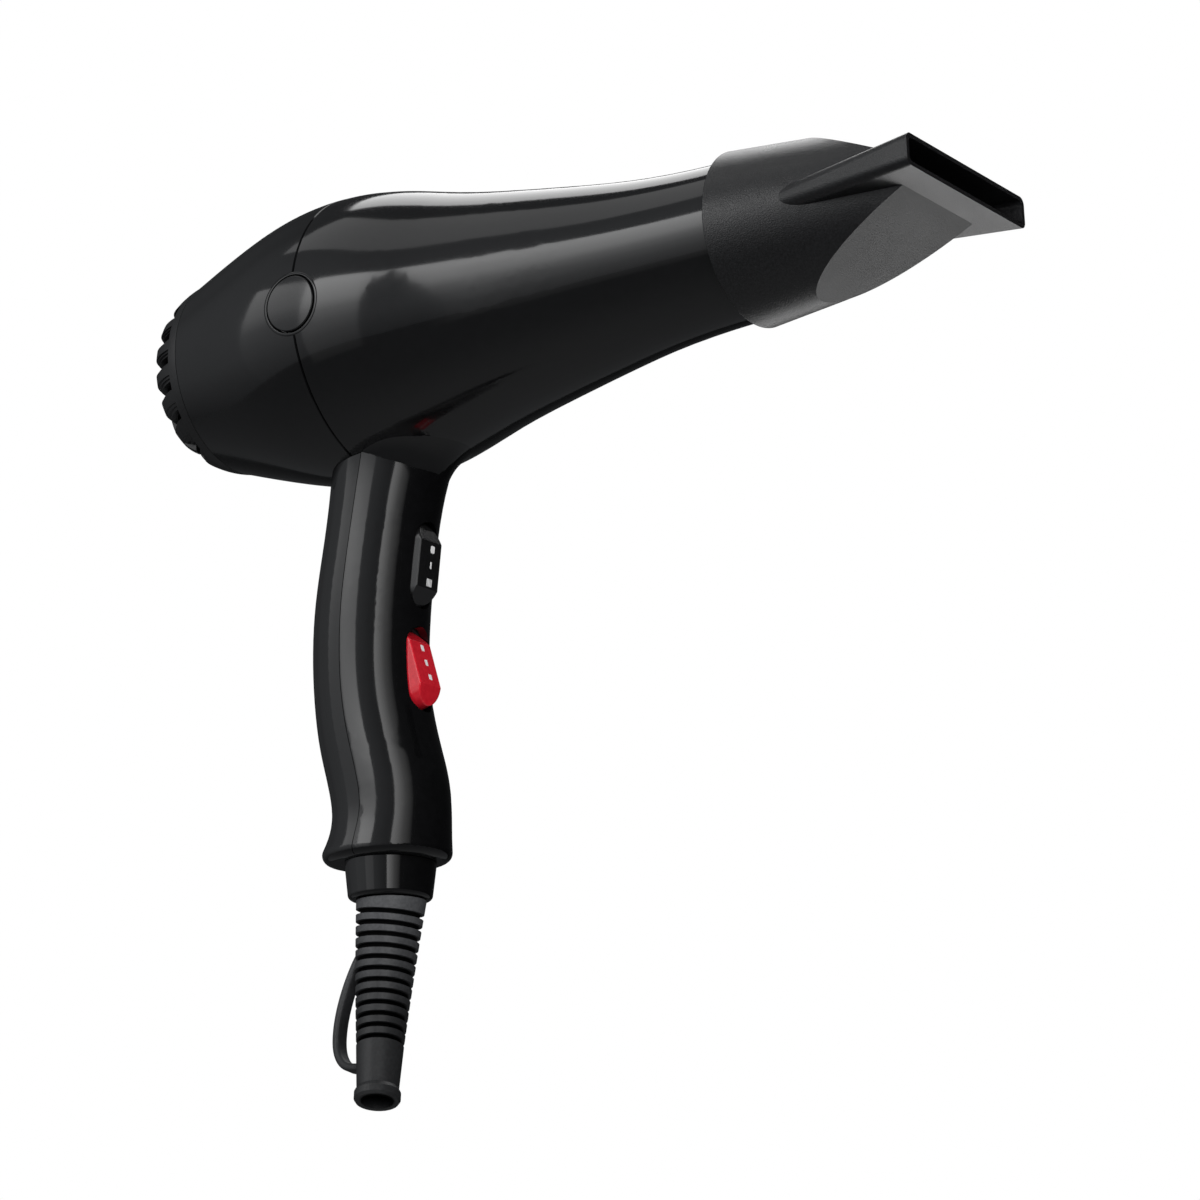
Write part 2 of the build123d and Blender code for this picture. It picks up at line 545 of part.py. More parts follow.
terms = [rod((35, -1.2, z), (0, 1, 0), 0.95, 2.4) + box(27.5, 37.5, 0.5, 1.3, z - 1.8, z + 1.8) for z in (8, -8, -14)]
put("heater_terminals", terms)
put("thermostat", rod((115.5, 8.0, 8.0), (1, 0, 0), 4.4, 5.5) + rod((121.0, 8.0, 8.0), (1, 0, 0), 2.0, 1.4))
put("thermal_fuse", rod((113.0, -7.0, 7.0), (1, 0, 0), 1.6, 11) + rod((111.0, -7.0, 7.0), (1, 0, 0), 0.5, 15))

# ---- air guide -----------------------------------------------------------------------------
guide = tube(-28.3, -2.0, 37.4, 35.8) + tube(-24.0, -2.0, 26.2, 24.7)
guide += tube(-11.9, -10.6, 37.6, 36)
vane = Pos(-13.0, 0, 31.0) * Rot(0, 0, 24) * Box(17.0, 1.5, 11.4)
guide += [(v & tube(-40, 20, 36.4, 25.4)) for v in around(vane, 9, 20)]
put("air_guide", guide)
put("motor_vibration_rings", [tube(-21.0, -17.0, 24.6, 22.1), tube(-7.0, -3.0, 24.6, 22.1)])

# ---- motor ------------------------------------------------------------------------------------
def wedge_yz(a, half, x0, x1, r):
    p = [(0, 0), (r * math.cos(math.radians(a - half)), r * math.sin(math.radians(a - half))),
         (1.4 * r * math.cos(math.radians(a)), 1.4 * r * math.sin(math.radians(a))),
         (r * math.cos(math.radians(a + half)), r * math.sin(math.radians(a + half)))]
    f = make_face(Polyline(*[(x0, y, z) for y, z in p], close=True))
    return extrude(f, x1 - x0, dir=(1, 0, 0))


stator = tube(-20.0, -3.0, 22.0, 17.6)
for a in (90, 270):
    stator += tube(-20.0, -3.0, 18.0, 12.0) & wedge_yz(a, 48, -21, 0, 30)
for sz in (1, -1):
    stator -= rod((-30, 0, sz * 19.8), (1, 0, 0), 1.35, 40)
put("motor_stator", stator)
wind = tube(-25.0, -20.3, 16.9, 13.0) + tube(-2.7, 2.4, 16.9, 13.0)
for a in (0, 180):
    wind += tube(-21.0, -2.0, 16.9, 13.0) & wedge_yz(a, 34, -22, -1, 30)
put("stator_windings", wind)
rotor = tube(-19.6, -3.4, 11.5, SHAFT_R + 0.02)
for v in around(box(-21, -2, -0.8, 0.8, 7.5, 11.6), 12, 15):
    rotor -= v
put("motor_rotor", rotor)
rw = tube(-24.0, -19.8, 9.6, 3.2) + tube(-3.2, 1.8, 9.6, 3.2)
for v in around(box(-20.5, -2.5, -0.65, 0.65, 7.7, 10.8), 12, 15):
    rw += v
# the slot windings join the end turns
rw += [tube(-20.5, -19.7, 10.8, 9.0), tube(-3.3, -2.6, 10.8, 9.0)]
put("rotor_windings", rw)
comm = tube(4.0, 13.0, 6.5, SHAFT_R + 0.02) + tube(3.0, 4.0, 7.4, SHAFT_R + 0.02)
for v in around(box(4.3, 14, -0.2, 0.2, 6.0, 7.5), 12):
    comm -= v
put("commutator", comm)
put("motor_shaft", tube(-50.0, 23.0, SHAFT_R))
put("motor_bearings", [tube(-31.0, -26.6, 4.4, SHAFT_R + 0.04), tube(15.4, 20.0, 4.4, SHAFT_R + 0.04)])


def bracket(x0, xb0, xb1, w):
    b = box(x0, x0 + 1.5, -w, w, -22.0, 22.0)
    b += tube(xb0, xb1, 6.0)
    b -= tube(xb0 - 1, xb1 + 1, 4.42)
    for sz in (1, -1):
        b -= rod((x0 - 5, 0, sz * 19.8), (1, 0, 0), 1.35, 12)
    return b


put("rear_motor_bracket", bracket(-29.6, -31.0, -26.6, 6.0))
put("front_motor_bracket", bracket(17.0, 15.4, 20.0, 9.0) + [box(14.0, 17.2, y0, y1, -4.0, 4.0) for y0, y1 in ((7.4, 9.0), (-9.0, -7.4))])
bolts = []
for sz in (1, -1):
    b = rod((-30.0, 0, sz * 19.8), (1, 0, 0), 1.3, 50.5) + rod((-31.8, 0, sz * 19.8), (1, 0, 0), 2.3, 2.0)
    bolts.append(b)
put("motor_bolts", bolts)
holders, brushes, bsprings = [], [], []
for sy in (1, -1):
    a, b = sorted((sy * 7.6, sy * 18.0))
    holder = box(5.2, 12.2, a, b, -3.5, 3.5) - box(6.2, 11.2, min(sy * 7, sy * 17), max(sy * 7, sy * 17), -2.5, 2.5)
    holder += box(12.2, 13.9, min(sy * 7.6, sy * 12), max(sy * 7.6, sy * 12), -2.5, 2.5)
    holders.append(holder)
    brushes.append(box(6.3, 11.1, min(sy * 6.65, sy * 12.5), max(sy * 6.65, sy * 12.5), -2.4, 2.4))
    base = sweep(Plane(origin=(1.7, 0, 0), z_dir=(0, 1, 0.1)) * Circle(0.22), Helix(0.95, 4.0, 1.7))
    bsprings.append(Pos(8.7, sy * 12.75, 0) * Rot(-90 * sy, 0, 0) * base)
put("brush_holders", holders)
put("carbon_brushes", brushes)
put("brush_springs", bsprings)

# ---- fan ------------------------------------------------------------------------------------
hub = tube(FAN_X0, FAN_X1, 8.0, SHAFT_R + 0.02)
blade = loft([(Plane(origin=(-39.5, 0, 6.5), z_dir=(0, 0, 1)) * Rot(0, 0, 48) * Rectangle(13.0, 1.8)).face(),
              (Plane(origin=(-39.5, 0, FAN_R + 1), z_dir=(0, 0, 1)) * Rot(0, 0, 64) * Rectangle(17.0, 1.2)).face()])
blade = blade & tube(FAN_X0, FAN_X1, FAN_R, 6.0)
fan = hub + around(blade, 9)
put("fan_impeller", fan)
put("fan_nut", extrude(Plane.YZ.offset(-49.4) * RegularPolygon(3.9, 6), 3.3) - tube(-52, -45, SHAFT_R + 0.02))

# ---- handle electrics -------------------------------------------------------------------------
cap_body = Pos(-15.0, 0, -123.0) * Box(8.0, 12.0, 7.0)
cap_body = fillet(cap_body.edges(), 0.8)
put("suppressor_capacitor", cap_body)
conn = []
for y in (-6.5, 6.5):
    conn.append(rod((-14.5, y, -142.0), (0, 0, 1), 2.4, 9.0) + rod((-14.5, y, -133.4), (0, 0, 1), 1.5, 2.5))
put("closed_end_splices", conn)


def wire(points, r=0.85, rad=3.0):
    pts = [Vector(*p) for p in points]
    pth = FilletPolyline(*pts, radius=rad)
    d = (pts[1] - pts[0]).normalized()
    return sweep(Plane(origin=pts[0], z_dir=d) * Circle(r), pth)


def route(tip, back, y, z_up, end):
    p0 = tip + back * 0.15
    p1 = tip + back * 4.5
    pts = [(p0.X, p0.Y, p0.Z), (p1.X, p1.Y, p1.Z), (-19.0, y, z_up)]
    if z_up < -70:
        pts.append((-18.0, y, -64.0))
    pts += [(2.0, y, -42.0), (7.0, y, -32.0)]
    if end[0] > 20:
        pts.append((19.5, y, -27.5))
    return pts + [end]


wires = [wire(route(heat_tips[2], heat_back, 5.4, -58.5, (26.9, 5.4, -15.0))),
         wire(route(heat_tips[0], heat_back, -5.4, -63.0, (26.9, -5.4, -15.0))),
         wire(route(speed_tips[2], speed_back, 8.2, -86.0, (14.0, 8.2, -20.0))),
         wire(route(speed_tips[0], speed_back, -8.2, -86.0, (14.0, -8.2, -20.0)))]
put("lead_wires", wires)
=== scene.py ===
import bpy
import bmesh
import json
import math
import random
from mathutils import Matrix, Vector
from mathutils.bvhtree import BVHTree


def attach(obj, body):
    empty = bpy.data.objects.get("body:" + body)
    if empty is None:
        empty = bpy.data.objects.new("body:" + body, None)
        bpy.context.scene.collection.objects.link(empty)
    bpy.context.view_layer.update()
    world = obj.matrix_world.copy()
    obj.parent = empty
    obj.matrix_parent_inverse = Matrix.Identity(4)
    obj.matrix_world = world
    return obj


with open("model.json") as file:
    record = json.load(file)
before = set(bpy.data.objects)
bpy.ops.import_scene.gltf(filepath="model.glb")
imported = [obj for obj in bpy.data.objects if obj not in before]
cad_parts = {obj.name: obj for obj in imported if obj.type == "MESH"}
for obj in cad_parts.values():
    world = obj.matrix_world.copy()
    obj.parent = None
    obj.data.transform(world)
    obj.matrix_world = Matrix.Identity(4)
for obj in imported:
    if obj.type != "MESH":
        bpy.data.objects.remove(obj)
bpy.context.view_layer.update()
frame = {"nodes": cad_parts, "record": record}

random.seed(7)
nodes = frame["nodes"]
scene = bpy.context.scene
MM = 0.001


# ---------------------------------------------------------------------------
# materials
# ---------------------------------------------------------------------------
def new_mat(name):
    m = bpy.data.materials.new(name)
    m.use_nodes = True
    nt = m.node_tree
    for n in list(nt.nodes):
        nt.nodes.remove(n)
    out = nt.nodes.new("ShaderNodeOutputMaterial")
    bsdf = nt.nodes.new("ShaderNodeBsdfPrincipled")
    nt.links.new(bsdf.outputs["BSDF"], out.inputs["Surface"])
    co = nt.nodes.new("ShaderNodeTexCoord")
    return m, nt, bsdf, co


def noise_tex(nt, co, scale, detail=3.0, rough=0.5, stretch=None):
    src = co.outputs["Object"]
    if stretch:
        mp = nt.nodes.new("ShaderNodeMapping")
        mp.inputs["Scale"].default_value = stretch
        nt.links.new(src, mp.inputs["Vector"])
        src = mp.outputs["Vector"]
    n = nt.nodes.new("ShaderNodeTexNoise")
    n.inputs["Scale"].default_value = scale
    n.inputs["Detail"].default_value = detail
    n.inputs["Roughness"].default_value = rough
    nt.links.new(src, n.inputs["Vector"])
    return n.outputs["Fac"]


def ranged(nt, src, lo, hi, a=0.3, b=0.7):
    r = nt.nodes.new("ShaderNodeMapRange")
    r.inputs["From Min"].default_value = a
    r.inputs["From Max"].default_value = b
    r.inputs["To Min"].default_value = lo
    r.inputs["To Max"].default_value = hi
    nt.links.new(src, r.inputs["Value"])
    return r.outputs["Result"]


def mixed(nt, fac, c0, c1):
    m = nt.nodes.new("ShaderNodeMix")
    m.data_type = "RGBA"
    m.inputs[6].default_value = (*c0, 1)
    m.inputs[7].default_value = (*c1, 1)
    nt.links.new(fac, m.inputs[0])
    return m.outputs[2]


def bumped(nt, heights, bsdf):
    """A chain of bumps; heights is [(socket, strength, distance)]."""
    prev = None
    for h, strength, dist in heights:
        b = nt.nodes.new("ShaderNodeBump")
        b.inputs["Strength"].default_value = strength
        b.inputs["Distance"].default_value = dist
        nt.links.new(h, b.inputs["Height"])
        if prev:
            nt.links.new(prev, b.inputs["Normal"])
        prev = b.outputs["Normal"]
    nt.links.new(prev, bsdf.inputs["Normal"])


def plastic(name, c0, c1, r0, r1, spec=0.5, coat=0.0, coat_rough=0.1, speck=(900, 2.0), wave=(140, 0.02, 0.0004), grain=(2600, 0.05, 0.00005)):
    m, nt, b, co = new_mat(name)
    b.inputs["Specular IOR Level"].default_value = spec
    b.inputs["Coat Weight"].default_value = coat
    b.inputs["Coat Roughness"].default_value = coat_rough
    fine = noise_tex(nt, co, speck[0], speck[1])
    broad = noise_tex(nt, co, 38, 2.0)
    nt.links.new(mixed(nt, ranged(nt, fine, 0, 1), c0, c1), b.inputs["Base Color"])
    nt.links.new(ranged(nt, broad, r0, r1), b.inputs["Roughness"])
    bumped(nt, [(noise_tex(nt, co, wave[0], 1.0), wave[1], wave[2]), (noise_tex(nt, co, grain[0], 2.0), grain[1], grain[2])], b)
    return m


def metal(name, c0, c1, r0, r1, brushed=(1, 1, 1), scale=900):
    m, nt, b, co = new_mat(name)
    b.inputs["Metallic"].default_value = 1.0
    n = noise_tex(nt, co, scale, 3.0, 0.6, brushed)
    nt.links.new(mixed(nt, ranged(nt, n, 0, 1), c0, c1), b.inputs["Base Color"])
    nt.links.new(ranged(nt, noise_tex(nt, co, 260, 3.0), r0, r1), b.inputs["Roughness"])
    bumped(nt, [(n, 0.15, 0.00006)], b)
    return m


gloss_black = plastic("gloss_black", (0.0022, 0.0022, 0.0024), (0.0030, 0.0030, 0.0033), 0.085, 0.120,
                      spec=0.5, coat=0.15, coat_rough=0.04, speck=(420, 2.0), wave=(95, 0.010, 0.0003), grain=(2200, 0.02, 0.00002))
cap_black = plastic("cap_black", (0.0026, 0.0026, 0.0028), (0.0036, 0.0036, 0.0039), 0.12, 0.16,
                    coat=0.15, coat_rough=0.08, speck=(600, 2.0), wave=(120, 0.008, 0.0002), grain=(2600, 0.03, 0.00002))
grille_black = plastic("grille_black", (0.007, 0.007, 0.0075), (0.010, 0.010, 0.0105), 0.34, 0.42,
                       speck=(900, 2.0), wave=(160, 0.03, 0.0003), grain=(2800, 0.12, 0.00004))
nozzle_black = plastic("nozzle_black", (0.002, 0.002, 0.0022), (0.008, 0.008, 0.0088), 0.27, 0.36,
                       spec=0.55, speck=(1500, 4.0), wave=(160, 0.04, 0.0004), grain=(2600, 0.75, 0.00013))
rubber_dark = plastic("rubber_dark", (0.026, 0.0265, 0.028), (0.040, 0.041, 0.043), 0.40, 0.50,
                      spec=0.45, speck=(1100, 3.0), wave=(220, 0.05, 0.0003), grain=(2400, 0.25, 0.00006))
# painted light and shade: the boot's base colour is scaled lighter at the top and darker towards the cord end
rt = rubber_dark.node_tree
r_b = next(n for n in rt.nodes if n.type == "BSDF_PRINCIPLED")
r_src = r_b.inputs["Base Color"].links[0].from_socket
r_co = next(n for n in rt.nodes if n.type == "TEX_COORD")
r_sep = rt.nodes.new("ShaderNodeSeparateXYZ")
rt.links.new(r_co.outputs["Object"], r_sep.inputs[0])
# painted light and shade: colour factor 2.2 at the top falling to 0.46 at the cord end
boot_painted_light_fac = ranged(rt, r_sep.outputs["Z"], 0.46, 2.2, -0.206, -0.172)
r_mul = rt.nodes.new("ShaderNodeVectorMath")
r_mul.operation = "SCALE"
rt.links.new(r_src, r_mul.inputs[0])
rt.links.new(boot_painted_light_fac, r_mul.inputs["Scale"])
# painted shade: the base colour is darkened in the grooves and the bore, below the surface of the ribs, measured
# from the arc on which the boot is bent (centre ARC_C, normal ARC_K, radius ARC_R, metres)
tilt = math.radians(8.6)
a0_ = Vector((-math.sin(tilt), 0, -math.cos(tilt)))
a1_ = Vector((0.099, -0.2516, -0.9628)).normalized()
ARC_K = a0_.cross(a1_).normalized()
turn_ = math.acos(a0_.dot(a1_))
ARC_R = 0.047 / turn_
ARC_C = Vector((-0.0095, 0, -0.1710)) + (a1_ - a0_ * math.cos(turn_)) / math.sin(turn_) * ARC_R


def vmath(op, a_, b_=None):
    v_ = rt.nodes.new("ShaderNodeVectorMath")
    v_.operation = op
    for i_, q_ in enumerate((a_, b_)):
        if q_ is None:
            continue
        if isinstance(q_, Vector):
            v_.inputs[i_].default_value = q_
        else:
            rt.links.new(q_, v_.inputs[i_])
    return v_


def smath(op, a_, b_=None, c_=None):
    v_ = rt.nodes.new("ShaderNodeMath")
    v_.operation = op
    for i_, q_ in enumerate((a_, b_, c_)):
        if q_ is None:
            continue
        if isinstance(q_, float):
            v_.inputs[i_].default_value = q_
        else:
            rt.links.new(q_, v_.inputs[i_])
    return v_.outputs[0]


rel = vmath("SUBTRACT", r_co.outputs["Object"], ARC_C).outputs[0]
side_ = vmath("DOT_PRODUCT", rel, ARC_K).outputs["Value"]
full_ = vmath("LENGTH", rel).outputs["Value"]
flat_ = smath("SQRT", smath("SUBTRACT", smath("MULTIPLY", full_, full_), smath("MULTIPLY", side_, side_)))
off_ = smath("SUBTRACT", flat_, float(ARC_R))
rad_ = smath("SQRT", smath("ADD", smath("MULTIPLY", off_, off_), smath("MULTIPLY", side_, side_)))
# rib radius falls from 10.2 mm at the top by 0.077 mm per mm
rib_ = smath("MULTIPLY_ADD", r_sep.outputs["Z"], 0.077, 0.0102 + 0.077 * 0.1710)
deep_ = smath("SUBTRACT", rad_, rib_)
# painted shade: base colour and specular level fall below the rib surface
groove_painted_shade = ranged(rt, deep_, 0.03, 1.0, -0.0010, -0.00025)
r_mul2 = rt.nodes.new("ShaderNodeVectorMath")
r_mul2.operation = "SCALE"
rt.links.new(r_mul.outputs[0], r_mul2.inputs[0])
rt.links.new(groove_painted_shade, r_mul2.inputs["Scale"])
rt.links.new(r_mul2.outputs[0], r_b.inputs["Base Color"])
rt.links.new(smath("MULTIPLY", groove_painted_shade, 0.45), r_b.inputs["Specular IOR Level"])
rocker_black = plastic("rocker_black", (0.006, 0.006, 0.0064), (0.009, 0.009, 0.0094), 0.16, 0.22,
                       coat=0.3, speck=(900, 2.0), wave=(160, 0.01, 0.0002), grain=(2600, 0.06, 0.00003))
rocker_red = plastic("rocker_red", (0.56, 0.010, 0.022), (0.66, 0.016, 0.030), 0.12, 0.18,
                     coat=0.6, coat_rough=0.05, speck=(700, 2.0), wave=(160, 0.01, 0.0002), grain=(2600, 0.05, 0.00003))
mark_white = plastic("mark_white", (0.74, 0.74, 0.74), (0.86, 0.86, 0.86), 0.35, 0.48,
                     speck=(2600, 2.0), grain=(3200, 0.2, 0.00003))
inner_black = plastic("inner_black", (0.018, 0.018, 0.019), (0.028, 0.028, 0.029), 0.45, 0.6, grain=(2000, 0.2, 0.00005))
inner_white = plastic("inner_white", (0.66, 0.64, 0.58), (0.74, 0.72, 0.67), 0.38, 0.5)
mica = plastic("mica", (0.42, 0.36, 0.25), (0.62, 0.56, 0.44), 0.35, 0.6, speck=(260, 5.0), grain=(900, 0.2, 0.0001))
carbon = plastic("carbon", (0.02, 0.02, 0.02), (0.05, 0.05, 0.05), 0.5, 0.65, grain=(3000, 0.4, 0.00006))
wire_red = plastic("wire_red", (0.36, 0.02, 0.018), (0.42, 0.03, 0.022), 0.42, 0.55)
capacitor = plastic("capacitor", (0.56, 0.40, 0.05), (0.66, 0.48, 0.08), 0.25, 0.35)
steel = metal("steel", (0.50, 0.50, 0.51), (0.62, 0.62, 0.63), 0.24, 0.40)
zinc = metal("zinc", (0.52, 0.52, 0.48), (0.64, 0.64, 0.60), 0.30, 0.45)
spring_steel = metal("spring_steel", (0.58, 0.58, 0.60), (0.68, 0.68, 0.70), 0.16, 0.28)
brass = metal("brass", (0.62, 0.42, 0.16), (0.74, 0.54, 0.24), 0.22, 0.36)
copper = metal("copper", (0.52, 0.20, 0.08), (0.70, 0.32, 0.16), 0.26, 0.42, (1, 12, 12), 300)
nichrome = metal("nichrome", (0.26, 0.23, 0.21), (0.40, 0.36, 0.33), 0.38, 0.55)
lamination = metal("lamination", (0.24, 0.24, 0.25), (0.40, 0.40, 0.41), 0.35, 0.5, (60, 1, 1), 40)
mesh_steel = metal("mesh_steel", (0.28, 0.28, 0.29), (0.42, 0.42, 0.43), 0.35, 0.5)

LOOK = dict(gloss_black=gloss_black, cap_black=cap_black, nozzle_black=nozzle_black, grille_black=grille_black,
            rubber_dark=rubber_dark, rocker_black=rocker_black, rocker_red=rocker_red, inner_black=inner_black,
            inner_white=inner_white, steel=steel, zinc=zinc, spring_steel=spring_steel, brass=brass, copper=copper,
            nichrome=nichrome, mica=mica, carbon=carbon, lamination=lamination, mesh=mesh_steel, wire=wire_red,
            capacitor=capacitor)
for sp in frame["record"]["subparts"]:
    o = nodes[sp["node"]]
    o.data.materials.clear()
    o.data.materials.append(LOOK[sp["material_slot"]])



# ---------------------------------------------------------------------------
# extra pieces
# ---------------------------------------------------------------------------
def add_piece(name, verts, faces, mat, body, smooth=True):
    me_ = bpy.data.meshes.new(name)
    me_.from_pydata([tuple(v) for v in verts], [], faces)
    me_.validate()
    b_ = bmesh.new()
    b_.from_mesh(me_)
    bmesh.ops.recalc_face_normals(b_, faces=b_.faces)
    b_.to_mesh(me_)
    b_.free()
    for f_ in me_.polygons:
        f_.use_smooth = smooth
    me_.materials.append(mat)
    o_ = bpy.data.objects.new(name, me_)
    scene.collection.objects.link(o_)
    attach(o_, body)
    return o_


def rocker_face(c, slope, turn):
    """Maps (across, up the handle, out) on a rocker's face to the row frame, in millimetres."""
    a = math.radians(slope)
    z = Vector((math.cos(a), 0, -math.sin(a)))
    x = Vector((0, 1, 0))
    y = z.cross(x)
    t = math.radians(turn)

    def at(lx, ly, lz):
        yy = ly * math.cos(t) - (lz + 5) * math.sin(t)
        zz = ly * math.sin(t) + (lz + 5) * math.cos(t) - 5
        return (Vector(c) + x * lx + y * yy + z * zz) * MM
    return at


def printed(at, shapes):
    """Slightly domed rounded plates on a rocker's face; shapes is [(x, y, half width, half height)]."""
    verts, faces = [], []
    for cx, cy, hw, hh in shapes:
        rings = []
        rc = min(hw, hh) * 0.45
        for k_, (grow, lz) in enumerate(((0.0, 1.66), (0.0, 1.722), (-0.06, 1.738), (-0.22, 1.742))):
            w_, h_, r_ = hw + grow, hh + grow, max(rc + grow, 0.03)
            ring = []
            for q, (sx, sy) in enumerate(((1, 1), (-1, 1), (-1, -1), (1, -1))):
                for i in range(7):
                    an = math.radians(90 * q + 15 * i)
                    ring.append(len(verts))
                    verts.append(at(cx + sx * (w_ - r_) + r_ * math.cos(an), cy + sy * (h_ - r_) + r_ * math.sin(an), lz))
            rings.append(ring)
        n_ = len(rings[0])
        for a_, b_ in zip(rings[:-1], rings[1:]):
            for i in range(n_):
                faces.append((a_[i], a_[(i + 1) % n_], b_[(i + 1) % n_], b_[i]))
        faces.append(tuple(rings[0]))
        faces.append(tuple(rings[-1]))
    return verts, faces


heat_at = rocker_face((5.98, 0, -73.2), 8.5, 0.0)
stripes = [(0.45 + k * 0.66, -5.2, 0.22, 1.15) for k in (-1.5, -0.5, 0.5, 1.5)]
v_, f_ = printed(heat_at, [(0.7, 4.75, 0.95, 1.1), (0.5, 0.0, 0.34, 1.05)] + stripes)
add_piece("heat_marks", v_, f_, mark_white, "heat_rocker_body")
speed_at = rocker_face((3.63, 0, -104.4), -1.6, -13.0)
v_, f_ = printed(speed_at, [(0.5, 5.2, 0.75, 1.0), (0.6, 0.4, 0.65, 1.0), (0.7, -4.3, 0.75, 0.9)])
add_piece("speed_marks", v_, f_, mark_white, "speed_rocker_body")

# the swept corner between the handle's front and the barrel
vs_, ts_ = [], []
for nm in ("front_housing", "rear_housing", "handle_back_cover"):
    o = nodes[nm]
    k0 = len(vs_)
    vs_ += [o.matrix_world @ v.co for v in o.data.vertices]
    ts_ += [tuple(k0 + i for i in p.vertices) for p in o.data.polygons]
bvh = BVHTree.FromPolygons(vs_, ts_)


def barrel_r(x):
    hit = bvh.ray_cast(Vector((x, 0, 0.09)), Vector((0, 0, -1)))
    return hit[0].z


XS = [(-0.030 + 0.001 * i) for i in range(84)]
RS = [barrel_r(x) if abs(x + 0.0082) > 0.0012 else None for x in XS]
for i in range(len(XS)):
    if RS[i] is None:
        lo = max(j for j in range(i) if RS[j] is not None)
        hi = min(j for j in range(i, len(XS)) if RS[j] is not None)
        RS[i] = RS[lo] + (RS[hi] - RS[lo]) * (XS[i] - XS[lo]) / (XS[hi] - XS[lo])


def radius(x):
    u_ = min(max((x - XS[0]) / 0.001, 0), len(XS) - 1.001)
    i = int(u_)
    return RS[i] + (RS[i + 1] - RS[i]) * (u_ - i)


def handle_hit(phi, z):
    c = Vector((-0.0052 + (-0.0420 - z) * -0.29, 0, z))
    d = Vector((math.cos(phi), math.sin(phi), 0))
    hit = bvh.ray_cast(c + d * 0.09, -d)
    return hit[0]


def barrel_hit(x, y):
    hit = bvh.ray_cast(Vector((x, y, -0.075)), Vector((0, 0, 1)))
    return hit[0]


FILLET, SPAN, NP, NQ = 0.0078, math.radians(88), 96, 16
rows = []
for i in range(NP + 1):
    phi = -SPAN + 2 * SPAN * i / NP
    s_ = 1 - (abs(phi) / SPAN) ** 2.2
    r_ = FILLET * s_
    d = Vector((math.cos(phi), math.sin(phi), 0))
    # walk up the handle to where it meets the barrel at this angle
    zc = -0.060
    for step in range(140):
        q = handle_hit(phi, zc)
        if abs(math.hypot(q.y, q.z) - radius(q.x)) < 0.00012:
            break
        zc += 0.0002
    zc -= 0.0002
    corner = handle_hit(phi, zc)
    low = handle_hit(phi, zc - r_ - 0.0003)
    out_ = barrel_hit(corner.x + d.x * (r_ + 0.0004), corner.y + d.y * (r_ + 0.0004))
    if out_ is None:
        continue
    inset = 0.00022
    low = low - d * inset
    out_ = out_ + Vector((0, 0, inset))
    ctrl = corner - d * 0.0001 + Vector((0, 0, 0.0001))
    row = []
    for j in range(NQ + 1):
        t_ = j / NQ
        row.append(out_ * (1 - t_) ** 2 + ctrl * (2 * t_ * (1 - t_)) + low * t_ ** 2)
    back = corner - d * 0.0008 + Vector((0, 0, 0.0008))
    row.append(low - d * 0.0004)
    row.append(back)
    row.append(out_ + Vector((0, 0, 0.0004)))
    rows.append(row)
if len(rows) > 8:
    n_ = len(rows[0])
    vv = [p for row in rows for p in row]
    ff = []
    for i in range(len(rows) - 1):
        for j in range(n_):
            a_, b_ = i * n_ + j, i * n_ + (j + 1) % n_
            ff.append((a_, b_, b_ + n_, a_ + n_))
    ff.append(tuple(range(n_)))
    ff.append(tuple((len(rows) - 1) * n_ + j for j in range(n_)))
    add_piece("handle_root_sweep", vv, ff, gloss_black, "main_body")


# lips round the side caps
for side, sy in (("left", 1), ("right", -1)):
    vv, ff = [], []
    n_ = 96
    prof = ((8.86, -0.75), (8.86, -0.14), (8.94, -0.04), (9.10, -0.005), (9.70, -0.005), (9.95, -0.20), (9.95, -0.75))
    for i in range(n_):
        an = 2 * math.pi * i / n_
        for r_, dy in prof:
            x = -0.0089 + r_ * MM * math.cos(an)
            z = r_ * MM * math.sin(an)
            rr = radius(x) + dy * MM
            vv.append(Vector((x, sy * math.sqrt(rr * rr - z * z), z)))
    m_ = len(prof)
    for i in range(n_):
        for j in range(m_):
            a_, b_ = i * m_ + j, i * m_ + (j + 1) % m_
            c_, d_ = ((i + 1) % n_) * m_ + (j + 1) % m_, ((i + 1) % n_) * m_ + j
            ff.append((a_, b_, c_, d_))
    add_piece("cap_lip_" + side, vv, ff, gloss_black, "main_body")

# ---------------------------------------------------------------------------
# stage
# ---------------------------------------------------------------------------
world = bpy.data.worlds.new("studio")
scene.world = world
world.use_nodes = True
wt = world.node_tree
for n in list(wt.nodes):
    wt.nodes.remove(n)
wo = wt.nodes.new("ShaderNodeOutputWorld")
mix = wt.nodes.new("ShaderNodeMixShader")
lp = wt.nodes.new("ShaderNodeLightPath")
dim = wt.nodes.new("ShaderNodeBackground")
pale = wt.nodes.new("ShaderNodeBackground")
dim.inputs["Color"].default_value = (0.93, 0.96, 1.0, 1)
